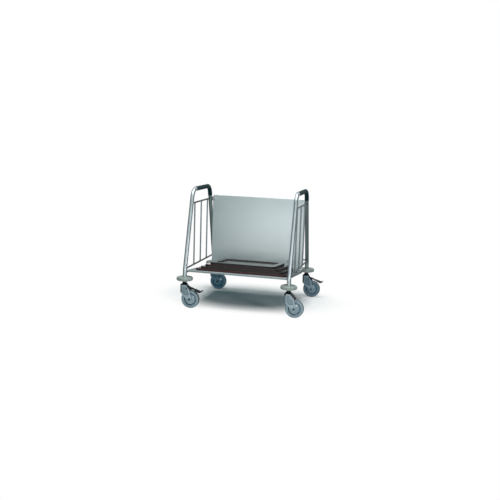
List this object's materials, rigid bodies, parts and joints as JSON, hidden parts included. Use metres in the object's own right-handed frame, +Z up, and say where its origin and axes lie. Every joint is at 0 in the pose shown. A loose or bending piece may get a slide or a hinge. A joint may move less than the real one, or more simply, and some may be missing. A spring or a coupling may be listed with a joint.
{
  "type": "tray trolley",
  "caption": "Tray carrying trolley: bent tube end frames with rod sides, sloping shelf and back panel, braked and free swivel casters, bumper rings and a pile of serving trays.",
  "frame": {"origin": "on the floor, under the middle of the whole outline, rear right pedal and bumper rings included", "axes": "X along the trolley from left to right as seen from its open front, Y from the open front to the back panel, Z up; the casters trail towards +X"},
  "size_m": [0.9144, 0.773, 0.8217],
  "materials": {
    "tube_steel": "drawn tube and rod, satin polished",
    "sheet_steel": "folded sheet, fine brushed grain",
    "screw_steel": "cold headed screws, bolts, pins and rivets",
    "grip_sleeve": "soft dark sleeve",
    "bumper_rubber": "grey moulded ring",
    "fork_plastic": "grey-blue moulded fork",
    "cover_plastic": "black moulded cover and pedal",
    "wheel_centre": "grey-blue moulded wheel centre",
    "tread_rubber": "grey-blue non-marking tread",
    "tray_laminate": "black brown glossy pressed tray"
  },
  "bodies": {
    "frame": {"end_frame_left": "tube_steel", "end_frame_right": "tube_steel", "upper_rail_left": "tube_steel", "lower_rail_left": "tube_steel", "upper_rail_right": "tube_steel", "lower_rail_right": "tube_steel", "rod_left_front": "tube_steel", "rod_left_middle": "tube_steel", "rod_left_rear": "tube_steel", "rod_right_front": "tube_steel", "rod_right_middle": "tube_steel", "rod_right_rear": "tube_steel", "rear_cross_bar": "tube_steel", "panel_stays": "tube_steel", "swivel_stems": "tube_steel", "shelf": "sheet_steel", "back_panel": "sheet_steel", "shelf_brackets": "sheet_steel", "panel_clips": "sheet_steel", "frame_screws": "screw_steel", "panel_rivets": "screw_steel", "grip_left": "grip_sleeve", "grip_right": "grip_sleeve", "bumper_front_left": "bumper_rubber", "bumper_front_right": "bumper_rubber", "bumper_rear_left": "bumper_rubber", "bumper_rear_right": "bumper_rubber", "stem_plugs": "cover_plastic"},
    "swivel_front_left": {"fork_front_left": "fork_plastic", "cover_front_left": "cover_plastic", "axle_front_left": "screw_steel", "brake_pin_front_left": "screw_steel"},
    "wheel_front_left": {"rim_front_left": "wheel_centre", "tyre_front_left": "tread_rubber", "bush_front_left": "wheel_centre"},
    "pedal_front_left": {"brake_pedal_front_left": "cover_plastic"},
    "swivel_front_right": {"fork_front_right": "fork_plastic", "cover_front_right": "cover_plastic", "axle_front_right": "screw_steel"},
    "wheel_front_right": {"rim_front_right": "wheel_centre", "tyre_front_right": "tread_rubber", "bush_front_right": "wheel_centre"},
    "swivel_rear_left": {"fork_rear_left": "fork_plastic", "cover_rear_left": "cover_plastic", "axle_rear_left": "screw_steel"},
    "wheel_rear_left": {"rim_rear_left": "wheel_centre", "tyre_rear_left": "tread_rubber", "bush_rear_left": "wheel_centre"},
    "swivel_rear_right": {"fork_rear_right": "fork_plastic", "cover_rear_right": "cover_plastic", "axle_rear_right": "screw_steel", "brake_pin_rear_right": "screw_steel"},
    "wheel_rear_right": {"rim_rear_right": "wheel_centre", "tyre_rear_right": "tread_rubber", "bush_rear_right": "wheel_centre"},
    "pedal_rear_right": {"brake_pedal_rear_right": "cover_plastic"},
    "tray_lowest": {"tray_lowest": "tray_laminate"},
    "tray_second": {"tray_second": "tray_laminate"},
    "tray_third": {"tray_third": "tray_laminate"},
    "tray_top": {"tray_top": "tray_laminate"}
  },
  "joints": [
    {"name": "swivel_front_left", "type": "hinge", "parent": "frame", "child": "swivel_front_left", "pos_m": [-0.40075, -0.33, 0.152], "axis": [0, 0, 1], "continuous": true},
    {"name": "wheel_front_left", "type": "hinge", "parent": "swivel_front_left", "child": "wheel_front_left", "pos_m": [-0.35675, -0.33, 0.0625], "axis": [0, 1, 0], "continuous": true},
    {"name": "pedal_front_left", "type": "hinge", "parent": "swivel_front_left", "child": "pedal_front_left", "pos_m": [-0.37875, -0.33, 0.138], "axis": [0, 1, 0], "range_deg": [0, 8]},
    {"name": "swivel_front_right", "type": "hinge", "parent": "frame", "child": "swivel_front_right", "pos_m": [0.32925, -0.33, 0.152], "axis": [0, 0, 1], "continuous": true},
    {"name": "wheel_front_right", "type": "hinge", "parent": "swivel_front_right", "child": "wheel_front_right", "pos_m": [0.37325, -0.33, 0.0625], "axis": [0, 1, 0], "continuous": true},
    {"name": "swivel_rear_left", "type": "hinge", "parent": "frame", "child": "swivel_rear_left", "pos_m": [-0.40075, 0.33, 0.152], "axis": [0, 0, 1], "continuous": true},
    {"name": "wheel_rear_left", "type": "hinge", "parent": "swivel_rear_left", "child": "wheel_rear_left", "pos_m": [-0.35675, 0.33, 0.0625], "axis": [0, 1, 0], "continuous": true},
    {"name": "swivel_rear_right", "type": "hinge", "parent": "frame", "child": "swivel_rear_right", "pos_m": [0.32925, 0.33, 0.152], "axis": [0, 0, 1], "continuous": true},
    {"name": "wheel_rear_right", "type": "hinge", "parent": "swivel_rear_right", "child": "wheel_rear_right", "pos_m": [0.37325, 0.33, 0.0625], "axis": [0, 1, 0], "continuous": true},
    {"name": "pedal_rear_right", "type": "hinge", "parent": "swivel_rear_right", "child": "pedal_rear_right", "pos_m": [0.35125, 0.33, 0.138], "axis": [0, 1, 0], "range_deg": [0, 8]},
    {"name": "tray_lowest_lift", "type": "slide", "parent": "frame", "child": "tray_lowest", "axis": [0, 0.0941, 0.9956], "range_m": [0, 0.25]},
    {"name": "tray_second_lift", "type": "slide", "parent": "tray_lowest", "child": "tray_second", "axis": [0, 0.0941, 0.9956], "range_m": [0, 0.25]},
    {"name": "tray_third_lift", "type": "slide", "parent": "tray_second", "child": "tray_third", "axis": [0, 0.0941, 0.9956], "range_m": [0, 0.25]},
    {"name": "tray_top_lift", "type": "slide", "parent": "tray_third", "child": "tray_top", "axis": [0, 0.0941, 0.9956], "range_m": [0, 0.25]}
  ]
}
